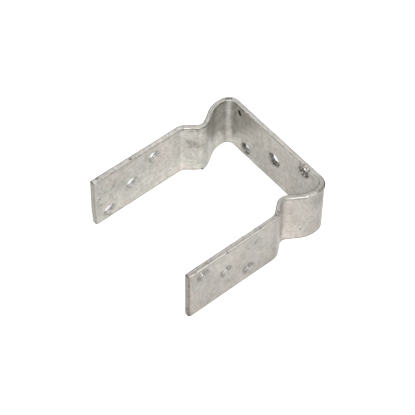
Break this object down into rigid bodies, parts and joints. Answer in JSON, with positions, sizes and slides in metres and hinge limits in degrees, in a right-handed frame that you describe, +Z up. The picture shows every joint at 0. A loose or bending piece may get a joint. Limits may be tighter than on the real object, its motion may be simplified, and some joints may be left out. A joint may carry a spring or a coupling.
{
  "type": "u bracket",
  "caption": "Galvanised U bracket folded from flat bar, with an inward crimp in each arm that grips a slotted post and staggered fixing holes.",
  "frame": {"origin": "middle of the web's thickness, halfway between the arms, at the lower edge of the bar", "axes": "+X across the U from one arm to the other, +Y out through the back of the web, with the open end towards -Y, +Z up the width of the bar"},
  "size_m": [0.1154, 0.1365, 0.05],
  "materials": {
    "galvanised_steel": "dull hot-dip galvanised zinc, mottled pale warm grey"
  },
  "bodies": {
    "root": {"bracket": "galvanised_steel"}
  },
  "joints": []
}
